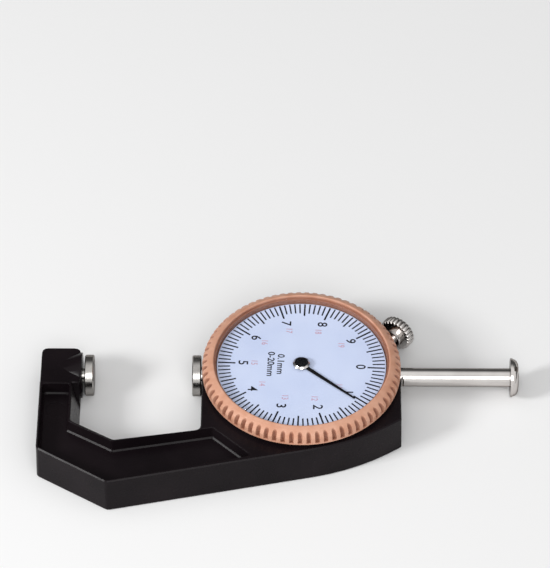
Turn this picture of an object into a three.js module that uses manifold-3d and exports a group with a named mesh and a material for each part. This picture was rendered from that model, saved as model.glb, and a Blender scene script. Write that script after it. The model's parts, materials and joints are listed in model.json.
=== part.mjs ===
// Dial thickness gauge, 0 to 20 mm by 0.1 mm, held open for its storage pose.
// Millimetres, +Z up. The origin is where the dial's axis meets the flat back.
// +X runs along the spindle towards its button, +Y away from the throat, +Z out through the dial.
import * as THREE from 'three';
import { mergeVertices } from 'three/addons/utils/BufferGeometryUtils.js';
import Module from 'manifold-3d';

const wasm = await Module();
wasm.setup();

// Measuring sizes
const spindleTravel = 21.06;
const lapTravel = 10;
const closedGap = 0.02;
const dialZeroTurn = THREE.MathUtils.degToRad(-2.35);

// Anvils
const anvilRadius = 4.4;
const anvilThickness = 1.9;
const anvilEdge = 0.2;
const anvilStandoff = 1;
const anvilRest = 0.12;

// Frame: its round body, and the arm that reaches round the throat to the jaw
const frameDepth = 9;
const bodyRadius = 21.15;
const wallDraft = 0.15;
const edgeBreak = 0.25;
const cornerRadius = 1.4;
const jawLength = 8.3;
const jawStep = 1;
const jawNear = 2.6;
const jawFar = 7.9;
const armWidth = 6.9;
const armDraft = 1.4;
const elbowDrop = 21.4;
const heelSetback = 15.1;
const heelDrop = 30.8;
const bellyMargin = 0.2;
const bellyShare = 0.128;
const chinShares = [0.605, 0.9];
const cheekShare = 0.612;
const throatHeelSetback = 16.1;
const throatElbowDrop = 13.5;
const throatHeelDrop = 18.9;
const throatToeDrop = 15.85;

// Front pocket of the arm and the lower limb
const pocketDepth = 3;
const rimWall = 0.55;
const pocketFoot = 0.3;
const pocketEndHighShare = 0.9;
const pocketEndLowShare = 0.435;
const pocketEndRise = 0.45;
const pocketEndSink = 2.65;
const ejectorRadius = 2.05;
const ejectorDepth = 0.15;
const ejectorDrop = 7.9;

// Boss of the jaw, a cone on the spindle's axis
const jawBossRadius = 4.9;
const jawBossTaper = 0.375;
const jawBossLength = 6.2;
const jawBossLip = 0.4;

// Movement cavity, open to the back
const coverThickness = 1.2;
const coverLedge = 1.5;
const coverGap = 0.1;
const caseWall = 4.55;
const frontWallShare = 0.2;
const lugRadius = 1.9;
const coverScrewCount = 3;
const coverScrewInset = 1.4;

// Bezel, and the seat on the front of the frame that it turns on
const bezelMargin = 0.05;
const bezelWall = 4.1;
const bezelHeight = 3.6;
const bezelGap = 0.06;
const bezelClearance = 0.05;
const bezelShoulderHeight = 1.7;
const bezelRimHeight = 0.45;
const bezelEdge = 0.25;
const shoulderShares = [[0.22, 0.45], [0.75, 0.83]];
const lipInset = 2.25;
const seatWall = 1.2;
const seatGap = 0.2;
const landInset = 1.1;
const landHeight = 0.75;
const wireGrooveDepth = 0.4;
const wireGrooveHeight = 1;
const wireGrooveWidth = 0.5;
const wireWidth = 0.6;
const wireThickness = 0.4;
const wireOpening = THREE.MathUtils.degToRad(24);
const fluteCount = 72;
const fluteDepth = 0.55;
const fluteWidthShare = 0.516;
const flutePhase = THREE.MathUtils.degToRad(4.4);

// Dial and crystal
const dialInset = 3.1;
const dialThickness = 0.5;
const dialGap = 0.25;
const dialHole = 1.1;
const crystalInset = 2.5;
const crystalThickness = 0.65;
const crystalGap = 0.05;
const skirtGap = 0.1;
const skirtWall = 0.4;

// Spindle, its rack and what it carries
const spindleRadius = 2;
const spindleY = 3.15;
const spindleRise = 0.1;
const spindleOverhang = 23.55;
const spigotRadius = 1.2;
const spigotLength = 1.2;
const fitGap = 0.03;
const runningGap = 0.04;
const shankRadius = 1.5;
const shankSocket = 5.5;
const buttonRadius = 4.15;
const buttonFlange = 0.5;
const buttonHead = 1.25;
const buttonStep = 0.15;
const buttonRounding = 1.5;
const buttonShank = 5;
const buttonSlotWidth = 1.2;
const buttonSlotDepth = 1;
const buttonSlotTurn = THREE.MathUtils.degToRad(-18);
const bushRadius = 2.9;
const bushInside = 0.45;

// Rack, pinion and backlash gear
const pinionTeeth = 10;
const gearTeeth = 30;
const pressureAngle = THREE.MathUtils.degToRad(25);
const toothThinning = 0.05;
const addendumShare = 0.66;
const rackAddendumShare = 0.8;
const dedendumShare = 1.1;
const pinionShares = [0.085, 0.723];
const gearShares = [0.149, 0.298];
const gearHubRadius = 1.5;
const gearHubShare = 0.4255;

// Arbors and the bridge that carries their lower pivots
const arborRadius = 0.9;
const pivotRadius = 0.45;
const pointerPin = 0.45;
const upperBushRadius = 2;
const upperBushBore = 0.72;
const bridgeLift = 0.3;
const bridgeThickness = 1;
const bridgeHalfWidth = 1.8;
const bridgeTongue = 1.7;
const columnRadius = 1.6;
const columnClear = 0.2;

// Hairspring of the backlash gear
const hairspringInner = 1.85;
const hairspringOuter = 4.7;
const hairspringTurns = 3.5;
const hairspringWire = 0.1;
const hairspringShare = 0.553;
const hairspringStudRadius = 0.45;

// Return spring, its post and the guide of the spindle
const springPostInset = 1.6;
const springPostRadius = 0.6;
const springCoilShare = 0.253;
const springWire = 0.12;
const springCoils = 9;
const springLead = 1.5;
const springHookTurn = THREE.MathUtils.degToRad(300);
const springHookEnd = THREE.MathUtils.degToRad(25);
const springHookGap = 0.1;
const springPocketRadius = 1.5;
const guidePinRadius = 0.6;
const guidePinInset = 1.3;
const guidePinOverlap = 0.9;
const guidePlateShare = 0.56;
const guidePlateThickness = 1;
const guidePlateClear = 0.12;
const guidePlateDrop = 1.6;
const guideFootWidth = 4;
const guideFootThickness = 0.8;
const guideFootShare = 0.42;

// Small screws
const screwRadius = 0.8;
const screwHeadRadius = 1.4;
const screwHeadHeight = 0.5;
const screwLength = 3.6;
const screwSlotWidth = 0.35;
const screwSlotDepth = 0.25;
const screwSink = 0.15;

// Lock screw
const lockTurn = THREE.MathUtils.degToRad(56);
const lockAhead = 0.35;
const lockRadius = 1.25;
const lockTip = 2.95;
const lockTipRadius = 0.4;
const lockTipLength = 1.2;
const lockBossHeight = 0.9;
const lockBossRadius = 3;
const lockHeadOut = 4.3;
const lockHeadThickness = 2.2;
const lockHeadRadius = 3.8;
const lockCollar = 1.4;
const lockCollarRadius = 2.2;
const knurlCount = 24;
const knurlDepth = 0.35;
const knurlEdge = 0.3;

// Pointer
const pointerInset = 3.2;
const pointerTail = 0.6;
const pointerRoot = 0.6;
const pointerTip = 0.16;
const pointerLift = 0.25;
const pointerThickness = 0.15;
const pointerBossRadius = 1.55;
const pointerBossHeight = 0.2;
const pointerCapRadius = 1.8;
const pointerCapHeight = 0.5;
const pointerCapChamfer = 0.35;

// One overrun serves all cuts, and the counts of facets go by the size of the round face
const overrun = 1;
const weldTolerance = 1e-4;
const bigFacets = 48;
const middleFacets = 24;
const smallFacets = 16;
const wireSides = 5;
const cornerSteps = 3;
const arcSteps = 12;

// Sizes worked out from the ones above
const rimLevel = frameDepth;
const pocketFloor = frameDepth - pocketDepth;
const jawTop = frameDepth - jawStep;
const frontWall = frameDepth * frontWallShare;
const cavityTop = frameDepth - frontWall;
const landTop = frameDepth + landHeight;
const wireGrooveLow = frameDepth + wireGrooveHeight;
const wireGrooveHigh = wireGrooveLow + wireGrooveWidth;
const bezelLow = landTop + bezelClearance;
const bezelTop = bezelLow + bezelHeight;
const bezelShoulder = bezelLow + bezelShoulderHeight;
const pointerStack = pointerLift + pointerThickness + pointerBossHeight + pointerCapHeight;
const dialLevel = bezelTop - crystalThickness - crystalGap - pointerStack;
const dialLow = dialLevel - dialThickness;
const seatTop = dialLow - seatGap;
const pointerLevel = dialLevel + pointerLift;
const spindleZ = frameDepth / 2 + spindleRise;
const bridgeLow = coverThickness + bridgeLift;
const bridgeHigh = bridgeLow + bridgeThickness;
const movementLevel = (share) => bridgeHigh + share * (cavityTop - bridgeHigh);
const hairspringLevel = movementLevel(hairspringShare);
const movingAnvilBack = -bodyRadius - wallDraft - anvilRest;
const movingAnvilFace = movingAnvilBack - anvilThickness;
const fixedAnvilFace = spindleTravel + closedGap - movingAnvilFace;
const jawFace = fixedAnvilFace + anvilThickness + anvilStandoff;
const armReach = jawFace + jawLength;
const armInner = armReach - armWidth;
const heelReach = armReach - heelSetback;
const throatHeelReach = armReach - throatHeelSetback;
const bellyReach = bodyRadius * bellyShare;
const bellyDrop = bodyRadius + bellyMargin;
const cheekDrop = bodyRadius * cheekShare;
const cavityRadius = bodyRadius - caseWall;
const coverRadius = cavityRadius + coverLedge;
const coverScrewCircle = cavityRadius - coverScrewInset;
const bezelRadius = bodyRadius - bezelMargin;
const bezelLipRadius = bezelRadius - lipInset;
const seatRadius = bezelRadius - bezelWall;
const seatBore = seatRadius - seatWall;
const landRadius = bezelRadius - landInset;
const dialRadius = bezelRadius - dialInset;
const crystalRadius = bezelRadius - crystalInset;
const crystalLow = bezelTop - crystalThickness - crystalGap;
const skirtRadius = dialRadius + dialGap - skirtGap;
const pointerReach = dialRadius - pointerInset;
const fluteWidth = fluteWidthShare * 2 * Math.PI * bezelRadius / fluteCount;
const spindleReach = bodyRadius + spindleOverhang;
const bushLength = caseWall + bushInside;
const shankLength = anvilStandoff + shankSocket;
const pinionRadius = lapTravel / (2 * Math.PI);
const toothModule = lapTravel / (Math.PI * pinionTeeth);
const toothPitch = lapTravel / pinionTeeth;
const gearRadius = pinionRadius * gearTeeth / pinionTeeth;
const gearY = -pinionRadius - gearRadius;
const pinionTurn = -spindleTravel / pinionRadius;
const pointerTurn = dialZeroTurn + pinionTurn;
const movementReach = Math.max(gearRadius + toothModule, hairspringOuter + hairspringStudRadius);
const bridgeScrewReach = movementReach + columnClear + columnRadius;
const springPostReach = cavityRadius - springPostInset;
const guidePlateY = cavityRadius * guidePlateShare;
const guidePlateFar = guidePlateY + guidePlateThickness;
const guidePlateHalfLength = Math.sqrt(cavityRadius ** 2 - guidePlateFar ** 2) - guidePlateClear;
const guideFootX = cavityRadius * guideFootShare;
const guideFootDepth = Math.sqrt(cavityRadius ** 2 - (guideFootX + guideFootWidth / 2) ** 2)
  - guidePlateFar - guidePlateClear;
const guidePinReach = guidePlateHalfLength - guidePinInset;
const guidePinEnd = guidePlateY + guidePinOverlap;
const springRoom = guidePlateY - spindleY - spindleRadius;
const springY = guidePlateY - springRoom / 2;
const springCoilRadius = springRoom * springCoilShare;
const guideScrewTop = cavityTop + frontWall / 2;
const lockCrossing = guidePinReach + lockAhead;

// Distance from where the lock screw's axis crosses the spindle's to where it leaves the round body
const lockWall = (() => {
  const along = lockCrossing * Math.cos(lockTurn) + spindleY * Math.sin(lockTurn);
  const across = lockCrossing * Math.sin(lockTurn) - spindleY * Math.cos(lockTurn);
  return Math.sqrt(bodyRadius ** 2 - across ** 2) - along;
})();
const lockSeat = lockWall + lockBossHeight;
const lockHeadStart = lockWall + lockHeadOut;

// Takes a geometry to a closed solid, with shared points merged and faces turned outwards
function solidOf(geometry) {
  const plain = new THREE.BufferGeometry();
  plain.setAttribute('position', geometry.getAttribute('position'));
  if (geometry.index) plain.setIndex(geometry.index);
  const merged = mergeVertices(plain, weldTolerance);
  const place = merged.getAttribute('position').array;
  const corners = [];
  let volume = 0;
  for (let i = 0; i < merged.index.count; i += 3) {
    const [a, b, c] = merged.index.array.slice(i, i + 3);
    if (a === b || b === c || c === a) continue;
    corners.push(a, b, c);
    const [p, q, r] = [a, b, c].map((at) => new THREE.Vector3().fromArray(place, 3 * at));
    volume += p.dot(q.cross(r));
  }
  if (volume < 0) corners.reverse();
  return new wasm.Manifold(new wasm.Mesh({
    numProp: 3,
    vertProperties: new Float32Array(place),
    triVerts: new Uint32Array(corners),
  }));
}

// Takes a solid back to a geometry with flat faces
function geometryOf(solid) {
  const mesh = solid.getMesh();
  const geometry = new THREE.BufferGeometry();
  geometry.setAttribute('position', new THREE.BufferAttribute(new Float32Array(mesh.vertProperties), 3));
  geometry.setIndex(new THREE.BufferAttribute(new Uint32Array(mesh.triVerts), 1));
  return geometry;
}

function join(first, ...others) {
  return geometryOf(others.reduce((sum, other) => sum.add(solidOf(other)), solidOf(first)));
}

function cut(first, ...others) {
  return geometryOf(others.reduce((rest, other) => rest.subtract(solidOf(other)), solidOf(first)));
}

// Closed body through rings of points that all have the same count, anticlockwise seen from above
function loft(rings) {
  const count = rings[0].length;
  const positions = rings.flat().flatMap((point) => [point.x, point.y, point.z]);
  const indices = [];
  rings.slice(1).forEach((ring, level) => {
    for (let i = 0; i < count; i += 1) {
      const next = (i + 1) % count;
      const low = level * count;
      const high = low + count;
      indices.push(low + i, low + next, high + next, low + i, high + next, high + i);
    }
  });
  const cap = (ring) => THREE.ShapeUtils.triangulateShape(ring.map((p) => new THREE.Vector2(p.x, p.y)), []);
  cap(rings[0]).forEach(([a, b, c]) => indices.push(c, b, a));
  const top = (rings.length - 1) * count;
  cap(rings.at(-1)).forEach(([a, b, c]) => indices.push(top + a, top + b, top + c));
  const geometry = new THREE.BufferGeometry();
  geometry.setAttribute('position', new THREE.Float32BufferAttribute(positions, 3));
  geometry.setIndex(indices);
  return geometry;
}

const atLevel = (points, z) => points.map((point) => new THREE.Vector3(point.x, point.y, z));

const prism = (points, low, high) => loft([atLevel(points, low), atLevel(points, high)]);

// Moves each side of an anticlockwise outline inwards by the same distance
function inset(points, distance) {
  const normal = (from, to) => new THREE.Vector2(from.y - to.y, to.x - from.x).normalize();
  return points.map((point, index) => {
    const before = normal(points.at(index - 1), point);
    const after = normal(point, points[(index + 1) % points.length]);
    const sum = before.clone().add(after);
    return sum.multiplyScalar(distance / (1 + before.dot(after))).add(point);
  });
}

// Rounds the corners of a straight-sided outline
function rounded(corners, radius) {
  return corners.flatMap((corner, index) => {
    const back = corners.at(index - 1).clone().sub(corner).normalize();
    const ahead = corners[(index + 1) % corners.length].clone().sub(corner).normalize();
    const turn = Math.PI - back.angleTo(ahead);
    const reach = radius * Math.tan(turn / 2);
    const start = corner.clone().addScaledVector(back, reach);
    const end = corner.clone().addScaledVector(ahead, reach);
    return new THREE.QuadraticBezierCurve(start, corner, end).getPoints(cornerSteps);
  });
}

// Body of revolution about Z, from pairs of radius and height
function turned(profile, facets) {
  const points = profile.map(([radius, height]) => new THREE.Vector2(radius, height));
  return new THREE.LatheGeometry(points, facets).rotateX(Math.PI / 2);
}

const rod = (radius, low, high, facets = smallFacets) => turned(
  [[0, low], [radius, low], [radius, high], [0, high]], facets);

const box = (low, high) => new THREE.BoxGeometry(...high.map((value, axis) => value - low[axis]))
  .translate(...high.map((value, axis) => (value + low[axis]) / 2));

// Tube of round section along a list of points, with square ends
function tube(points, radius, sides) {
  const tangents = points.map((point, i) => points[Math.min(i + 1, points.length - 1)].clone()
    .sub(points[Math.max(i - 1, 0)]).normalize());
  const side = new THREE.Vector3(0, 0, 1).cross(tangents[0]);
  const rings = points.map((point, i) => {
    side.addScaledVector(tangents[i], -side.dot(tangents[i])).normalize();
    const up = tangents[i].clone().cross(side);
    return Array.from({ length: sides }, (unused, k) => {
      const angle = 2 * Math.PI * k / sides;
      return point.clone().addScaledVector(side, radius * Math.cos(angle))
        .addScaledVector(up, radius * Math.sin(angle));
    });
  });
  const positions = rings.flat().flatMap((point) => point.toArray());
  const indices = [];
  for (let i = 0; i + 1 < rings.length; i += 1) {
    for (let k = 0; k < sides; k += 1) {
      const [a, b] = [i * sides + k, i * sides + (k + 1) % sides];
      indices.push(a, b, b + sides, a, b + sides, a + sides);
    }
  }
  const last = (rings.length - 1) * sides;
  for (let k = 1; k + 1 < sides; k += 1) {
    indices.push(0, k + 1, k, last, last + k, last + k + 1);
  }
  const geometry = new THREE.BufferGeometry();
  geometry.setAttribute('position', new THREE.Float32BufferAttribute(positions, 3));
  geometry.setIndex(indices);
  return geometry;
}

// Least distance between stretches of a tube that are more than a bend apart along its path
function leastSelfGap(points, radius, apart) {
  const along = [0];
  points.slice(1).forEach((point, i) => along.push(along[i] + point.distanceTo(points[i])));
  let least = Infinity;
  points.forEach((point, i) => points.slice(i + 1).forEach((other, step) => {
    if (along[i + 1 + step] - along[i] > apart) least = Math.min(least, point.distanceTo(other));
  }));
  return least - 2 * radius;
}

// Places a shape that was made along Z on the spindle's axis, with its Z along X
const onSpindleAxis = (geometry) => geometry.rotateY(Math.PI / 2).translate(0, spindleY, spindleZ);

// Places a shape that was made along Z on the lock screw's axis
const onLockAxis = (geometry) => geometry.rotateY(Math.PI / 2).rotateZ(lockTurn)
  .translate(lockCrossing, spindleY, spindleZ);

// Places of screws, lugs and columns
const coverScrewPlaces = Array.from({ length: coverScrewCount }, (unused, k) => {
  const angle = Math.PI / 2 + 2 * Math.PI * k / coverScrewCount;
  return [coverScrewCircle * Math.cos(angle), coverScrewCircle * Math.sin(angle)];
});
const bridgeScrewPlaces = [[-bridgeScrewReach, gearY], [bridgeScrewReach, gearY]];
const guideScrewY = guidePlateFar + Math.max(guideFootDepth / 2, screwHeadRadius + fitGap);
const guideScrewPlaces = [-guideFootX, guideFootX].map((x) => [x, guideScrewY]);
const studPlace = [hairspringOuter, gearY];

// Outline of the frame at a share of its depth, 0 at the back and 1 at the rim
function frameOutline(depthShare) {
  const out = wallDraft * (1 - depthShare);
  const inner = armInner - armDraft * (1 - depthShare);
  const corner = (x, y) => new THREE.Vector2(x, y);
  const straight = rounded([
    corner(-jawFace, -jawNear),
    corner(-jawFace, jawFar + out),
    corner(-armReach - out, jawFar + out),
    corner(-armReach - out, -elbowDrop - out),
    corner(-heelReach, -heelDrop - out),
    corner(-bellyReach, -bellyDrop - out - (heelDrop - bellyDrop) * bellyReach / heelReach),
  ], cornerRadius).slice(cornerSteps + 1, -cornerSteps - 1);
  const belly = new THREE.QuadraticBezierCurve(
    corner(bellyReach, -bellyDrop - out),
    corner(bodyRadius * chinShares[0], -bodyRadius * chinShares[1] - out),
    corner(bodyRadius + out - edgeBreak, -cheekDrop - out),
  ).getPoints(arcSteps / 2);
  const back = new THREE.EllipseCurve(0, 0, bodyRadius + out, bodyRadius + out, 0, Math.PI)
    .getPoints(arcSteps * 2);
  const throat = rounded([
    corner(-bodyRadius - out, 0),
    corner(-bodyRadius - out, -throatToeDrop + out),
    corner(-throatHeelReach, -throatHeelDrop + out),
    corner(-inner, -throatElbowDrop),
    corner(-inner, -jawNear),
  ], cornerRadius).slice(cornerSteps + 1, -cornerSteps - 1);
  return [
    ...straight,
    ...belly,
    corner(bodyRadius + out, -cheekDrop - out + edgeBreak),
    ...back,
    ...throat,
    corner(-inner, -jawNear - edgeBreak),
    corner(-jawFace, -jawNear),
  ];
}

// The pocket's corners, so that they lie a rim wall inside the frame's outline once set in
function pocketCorners() {
  return [
    [-armReach, -jawNear],
    [-armReach, -elbowDrop],
    [-heelReach, -heelDrop],
    [-bodyRadius * pocketEndLowShare, -bellyDrop - pocketEndSink + rimWall],
    [-bodyRadius * pocketEndHighShare + rimWall, -throatToeDrop + pocketEndRise + rimWall],
    [-throatHeelReach, -throatHeelDrop],
    [-armInner, -throatElbowDrop],
    [-armInner, -jawNear],
  ].map(([x, y]) => new THREE.Vector2(x, y));
}

function pocketTool() {
  const ring = (distance, z) => atLevel(rounded(inset(pocketCorners(), distance), cornerRadius / 2), z);
  return loft([
    ring(rimWall + wallDraft + pocketFoot, pocketFloor),
    ring(rimWall + wallDraft, pocketFloor + pocketFoot),
    ring(rimWall, rimLevel),
    ring(rimWall, rimLevel + overrun),
  ]);
}

function jawBoss() {
  const end = jawBossRadius - jawBossTaper * jawBossLength;
  const cone = onSpindleAxis(turned([
    [0, -jawFace - jawBossLength],
    [end, -jawFace - jawBossLength],
    [jawBossRadius, -jawFace],
    [jawBossRadius, -jawFace + jawBossLip],
    [0, -jawFace + jawBossLip],
  ], middleFacets));
  const below = box([-armReach, -armReach, -jawBossRadius], [0, armReach, 0]);
  return cut(cone, below);
}

// Round seat that the bezel turns on, with the groove of its retaining wire
function bezelSeat() {
  return turned([
    [seatBore, cavityTop + frontWall / 2],
    [landRadius, cavityTop + frontWall / 2],
    [landRadius, landTop],
    [seatRadius, landTop],
    [seatRadius, wireGrooveLow],
    [seatRadius - wireGrooveDepth, wireGrooveLow],
    [seatRadius - wireGrooveDepth, wireGrooveHigh],
    [seatRadius, wireGrooveHigh],
    [seatRadius, seatTop],
    [seatBore, seatTop],
    [seatBore, cavityTop + frontWall / 2],
  ], bigFacets);
}

// Cavity with the step that the cover lies in
function cavityTool() {
  return turned([
    [0, -overrun],
    [coverRadius + coverGap, -overrun],
    [coverRadius + coverGap, coverThickness],
    [cavityRadius, coverThickness],
    [cavityRadius, cavityTop],
    [0, cavityTop],
  ], bigFacets);
}

function frameGeometry() {
  const [back, rim] = [frameOutline(0), frameOutline(1)];
  const shell = loft([
    atLevel(inset(back, edgeBreak), 0),
    atLevel(back, edgeBreak),
    atLevel(rim, rimLevel - edgeBreak),
    atLevel(inset(rim, edgeBreak), rimLevel),
  ]);
  const aboveJaw = box(
    [-armReach - overrun, -jawNear, jawTop],
    [-jawFace + overrun, jawFar + overrun, rimLevel + overrun],
  );
  const ejectorMark = rod(ejectorRadius, pocketFloor - ejectorDepth, pocketFloor + overrun)
    .translate(-(armReach + armInner) / 2, -ejectorDrop, 0);
  const springPocket = rod(springPocketRadius, coverThickness, cavityTop)
    .translate(-springPostReach, springY, 0);
  const lugs = coverScrewPlaces.map(([x, y]) => rod(lugRadius, coverThickness, cavityTop + overrun / 2)
    .translate(x, y, 0));
  const columns = bridgeScrewPlaces.map(([x, y]) => rod(
    columnRadius, bridgeHigh, cavityTop + overrun / 2).translate(x, y, 0));
  const lockBoss = onLockAxis(rod(lockBossRadius, lockSeat - 2 * overrun, lockSeat, middleFacets));
  const hollow = cut(shell, aboveJaw, pocketTool(), ejectorMark, cavityTool(), springPocket);
  const built = join(hollow, jawBoss(), bezelSeat(), lockBoss, ...lugs, ...columns);
  return cut(built, ...frameHoles());
}

function frameHoles() {
  const through = bodyRadius + overrun;
  const inside = bodyRadius - bushLength - overrun;
  const thread = (top) => ([x, y]) => rod(screwRadius + fitGap, 0, top + fitGap).translate(x, y, 0);
  return [
    onSpindleAxis(rod(bushRadius + fitGap, -through, -inside, middleFacets)),
    onSpindleAxis(rod(bushRadius + fitGap, inside, through, middleFacets)),
    onSpindleAxis(rod(shankRadius + fitGap, -jawFace - shankLength, -jawFace + overrun)),
    onLockAxis(rod(lockRadius + runningGap, lockTip, lockSeat + overrun)),
    rod(upperBushRadius + fitGap, cavityTop - overrun, rimLevel + overrun, middleFacets),
    rod(pivotRadius + runningGap, cavityTop - overrun, cavityTop + frontWall / 2).translate(0, gearY, 0),
    rod(hairspringStudRadius + fitGap, cavityTop - overrun, cavityTop + frontWall / 2)
      .translate(...studPlace, 0),
    rod(springPostRadius + fitGap, cavityTop - overrun, cavityTop + frontWall / 2)
      .translate(-springPostReach, springY, 0),
    ...coverScrewPlaces.map(thread(coverThickness + screwLength)),
    ...bridgeScrewPlaces.map(thread(bridgeLow + screwHeadHeight + screwLength)),
    ...guideScrewPlaces.map(thread(guideScrewTop)),
  ];
}

function rearCoverGeometry() {
  const plate = turned([
    [0, 0],
    [coverRadius - edgeBreak, 0],
    [coverRadius, edgeBreak],
    [coverRadius, coverThickness],
    [0, coverThickness],
  ], bigFacets);
  const sunk = screwHeadRadius + fitGap;
  const holes = coverScrewPlaces.map(([x, y]) => turned([
    [0, -overrun],
    [sunk, -overrun],
    [sunk, screwSink + screwHeadHeight],
    [screwRadius + fitGap, screwSink + screwHeadHeight],
    [screwRadius + fitGap, coverThickness + overrun],
    [0, coverThickness + overrun],
  ], smallFacets).translate(x, y, 0));
  return cut(plate, ...holes);
}

// Cheese-head screw, head down, with its slot; the head's top lies at 0 and the shank goes up
function screwGeometry(length) {
  const body = turned([
    [0, 0],
    [screwHeadRadius, 0],
    [screwHeadRadius, screwHeadHeight],
    [screwRadius, screwHeadHeight],
    [screwRadius, screwHeadHeight + length],
    [0, screwHeadHeight + length],
  ], smallFacets);
  const slot = box(
    [-screwHeadRadius - overrun, -screwSlotWidth / 2, -overrun],
    [screwHeadRadius + overrun, screwSlotWidth / 2, screwSlotDepth],
  );
  return cut(body, slot);
}

function anvilGeometry(shankLengthThere) {
  const outer = [
    [0, -anvilThickness],
    [anvilRadius - anvilEdge, -anvilThickness],
    [anvilRadius, -anvilThickness + anvilEdge],
    [anvilRadius, -anvilEdge],
    [anvilRadius - anvilEdge, 0],
    [0, 0],
  ];
  const shank = [[0, -anvilThickness - shankLengthThere], [shankRadius, -anvilThickness - shankLengthThere],
    [shankRadius, -anvilThickness]];
  return turned(shankLengthThere > 0 ? [...shank, ...outer.slice(1)] : outer, middleFacets);
}

function movingAnvilGeometry() {
  const back = -anvilThickness;
  return cut(anvilGeometry(0), rod(spigotRadius + fitGap, back - overrun, back + spigotLength + fitGap));
}

function bushGeometry() {
  const bore = spindleRadius + runningGap;
  return turned([
    [bore, 0],
    [bushRadius, 0],
    [bushRadius, bushLength],
    [bore, bushLength],
    [bore, 0],
  ], middleFacets);
}

// Straight-sided rack tool: one gap between two teeth, wide at the rod's surface
function rackGap(centre) {
  const pitchLine = pinionRadius;
  const tip = pitchLine - rackAddendumShare * toothModule;
  const root = pitchLine + dedendumShare * toothModule;
  const half = (y) => toothPitch / 4 + toothThinning / 2 + (pitchLine - y) * Math.tan(pressureAngle);
  const mouth = tip - overrun;
  const profile = [[-half(root), root], [-half(mouth), mouth], [half(mouth), mouth], [half(root), root]]
    .map(([along, y]) => new THREE.Vector2(centre + along, y));
  return prism(profile, 0, 2 * spindleRadius + 2 * overrun);
}

// Centres of the rack's gaps, counted back from the one that the pinion is in when the gauge is closed
function rackGapCentres() {
  const clear = pinionRadius + toothPitch / 2;
  const count = Math.ceil((spindleTravel + clear + toothPitch / 2) / toothPitch);
  return Array.from({ length: count }, (unused, k) => spindleTravel + toothPitch / 2 - k * toothPitch);
}

function spindleGeometry() {
  const shaft = onSpindleAxis(turned([
    [0, movingAnvilBack - spigotLength],
    [spigotRadius, movingAnvilBack - spigotLength],
    [spigotRadius, movingAnvilBack],
    [spindleRadius, movingAnvilBack],
    [spindleRadius, spindleReach],
    [spigotRadius + fitGap, spindleReach],
    [spigotRadius + fitGap, spindleReach - buttonShank - fitGap],
    [0, spindleReach - buttonShank - fitGap],
  ], middleFacets));
  const centres = rackGapCentres();
  const tip = pinionRadius - rackAddendumShare * toothModule;
  const clear = pinionRadius + toothPitch / 2;
  const flat = box(
    [-clear, tip - 2 * spindleRadius, spindleZ - spindleRadius - overrun],
    [spindleTravel + clear, tip, spindleZ + spindleRadius + overrun],
  );
  const gaps = centres.map((centre) => rackGap(centre).translate(0, 0, spindleZ - spindleRadius - overrun));
  const pinHole = rod(guidePinRadius + fitGap, 0, 3 * spindleRadius).rotateX(-Math.PI / 2)
    .translate(guidePinReach, spindleY, spindleZ);
  const placed = cut(shaft, flat, ...gaps, pinHole);
  return placed.translate(0, -spindleY, -spindleZ);
}

// Thumb button: a thin flange under a head with a rounded edge and a slot
function buttonGeometry() {
  const edge = buttonRadius - buttonStep - buttonRounding;
  const rounding = new THREE.EllipseCurve(edge, buttonFlange, buttonRounding, buttonHead, 0, Math.PI / 2)
    .getPoints(cornerSteps + 1).map((point) => point.toArray());
  const top = buttonFlange + buttonHead;
  const body = turned([
    [0, -buttonShank],
    [spigotRadius, -buttonShank],
    [spigotRadius, 0],
    [buttonRadius, 0],
    [buttonRadius, buttonFlange],
    ...rounding,
    [0, top],
  ], middleFacets);
  const slot = box(
    [-buttonRadius - overrun, -buttonSlotWidth / 2, top - buttonSlotDepth],
    [buttonRadius + overrun, buttonSlotWidth / 2, top + overrun],
  ).rotateZ(buttonSlotTurn);
  return cut(body, slot);
}

// Outline of a spur gear with involute flanks and a tooth centred on the X axis
function gearOutline(teeth, radius) {
  const base = radius * Math.cos(pressureAngle);
  const outer = radius + addendumShare * toothModule;
  const root = radius - dedendumShare * toothModule;
  const involute = (angle) => Math.tan(angle) - angle;
  const halfTooth = (toothPitch / 2 - toothThinning) / (2 * radius);
  const halfAt = (r) => halfTooth + involute(pressureAngle) - involute(Math.acos(Math.min(1, base / r)));
  const start = Math.max(base, root);
  const flank = [root, start, (start + outer) / 2, outer];
  return Array.from({ length: teeth }, (unused, k) => 2 * Math.PI * k / teeth).flatMap((centre) => [
    ...flank.map((r) => [r, centre - halfAt(Math.max(r, start))]),
    ...flank.toReversed().map((r) => [r, centre + halfAt(Math.max(r, start))]),
  ]).map(([r, angle]) => new THREE.Vector2(r * Math.cos(angle), r * Math.sin(angle)));
}

// Arbor with the pinion cut on it, from its lower pivot to the pin that holds the pointer
function pinionGeometry() {
  const shaft = turned([
    [0, bridgeLow + fitGap],
    [pivotRadius, bridgeLow + fitGap],
    [pivotRadius, bridgeHigh + runningGap],
    [arborRadius, bridgeHigh + runningGap],
    [arborRadius, cavityTop - runningGap],
    [upperBushBore - runningGap, cavityTop - runningGap],
    [upperBushBore - runningGap, dialLow - dialThickness],
    [pointerPin, dialLow],
    [pointerPin, pointerLevel + pointerThickness + pointerBossHeight + pointerCapHeight / 2],
    [0, pointerLevel + pointerThickness + pointerBossHeight + pointerCapHeight / 2],
  ], smallFacets);
  return join(shaft, prism(gearOutline(pinionTeeth, pinionRadius), ...pinionShares.map(movementLevel)));
}

function backlashGearGeometry() {
  const [low, high] = gearShares.map(movementLevel);
  const hub = rod(gearHubRadius, low, movementLevel(gearHubShare));
  const wheel = join(prism(gearOutline(gearTeeth, gearRadius), low, high), hub);
  return cut(wheel, rod(arborRadius + fitGap, 0, cavityTop));
}

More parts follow.
